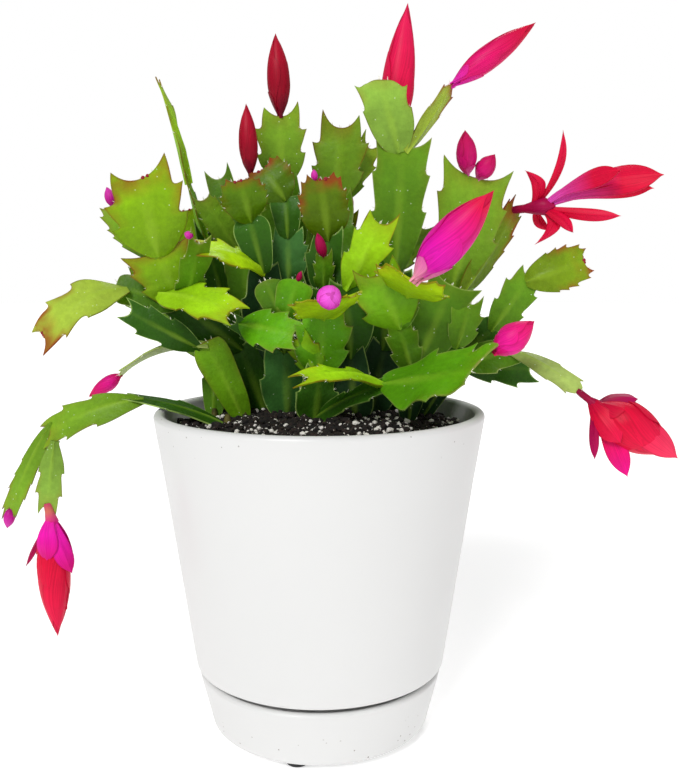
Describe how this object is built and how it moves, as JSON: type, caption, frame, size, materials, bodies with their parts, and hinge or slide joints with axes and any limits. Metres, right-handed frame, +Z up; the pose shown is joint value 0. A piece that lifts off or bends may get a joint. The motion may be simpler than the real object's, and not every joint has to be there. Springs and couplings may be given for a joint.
{
  "type": "potted christmas cactus",
  "caption": "Christmas cactus with flat toothed leafy stems, red-pink buds and open blooms in a tapered white pot of soil that stands in a matching saucer.",
  "frame": {"origin": "on the floor under the pot's axis: the middle of the whole object's footprint, with the rubber feet's undersides at z = 0", "axes": "+Z up along the pot's axis, +Y to the back, +X to the side of the open bloom"},
  "size_m": [0.2825, 0.1422, 0.305],
  "materials": {
    "glazed_white": "satin white glaze",
    "rubber_foot": "matt black rubber",
    "potting_soil": "damp dark peat mix with white perlite grains",
    "green_segment": "waxy green skin, yellow-green where young, reddish at the teeth",
    "bud": "satin petals, crimson to magenta",
    "petal": "satin petals, red with a lavender-pink throat"
  },
  "bodies": {
    "root": {"pot": "glazed_white", "saucer": "glazed_white", "foot_front": "rubber_foot", "foot_right": "rubber_foot", "foot_back": "rubber_foot", "foot_left": "rubber_foot", "soil": "potting_soil", "stem_trailing_left": "green_segment", "stem_lower_left": "green_segment", "stem_upper_left": "green_segment", "stem_slim_left": "green_segment", "stem_left_back": "green_segment", "stem_centre_left": "green_segment", "stem_centre_back": "green_segment", "stem_tall_left": "green_segment", "stem_tall_back": "green_segment", "stem_tinted_middle": "green_segment", "stem_yellow_middle": "green_segment", "stem_tall_centre": "green_segment", "stem_tall_right": "green_segment", "stem_right_dark": "green_segment", "stem_front_centre": "green_segment", "stem_low_centre": "green_segment", "stem_right_outer": "green_segment", "stem_right_low": "green_segment", "stem_back_left": "green_segment", "stem_back_centre_left": "green_segment", "stem_back_centre": "green_segment", "stem_back_right": "green_segment", "stem_back_far_right": "green_segment", "stem_back_hanging": "green_segment", "stem_left_low": "green_segment", "bud_tall_left": "bud", "bud_dark_left": "bud", "bud_tall_centre": "bud", "bud_leaning": "bud", "bud_pair_left": "bud", "bud_pair_right": "bud", "bud_front": "bud", "bud_ball": "bud", "bud_right": "bud", "bud_arching": "bud", "bud_trailing": "bud", "bud_upper_left": "bud", "bud_folded": "bud", "bud_small": "bud", "bud_round": "bud", "bud_tinted": "bud", "bud_back_left": "bud", "bud_back_centre": "bud", "bloom_open": "petal", "bloom_hanging_right": "petal", "bloom_hanging_left": "petal", "bloom_back": "petal"}
  },
  "joints": []
}
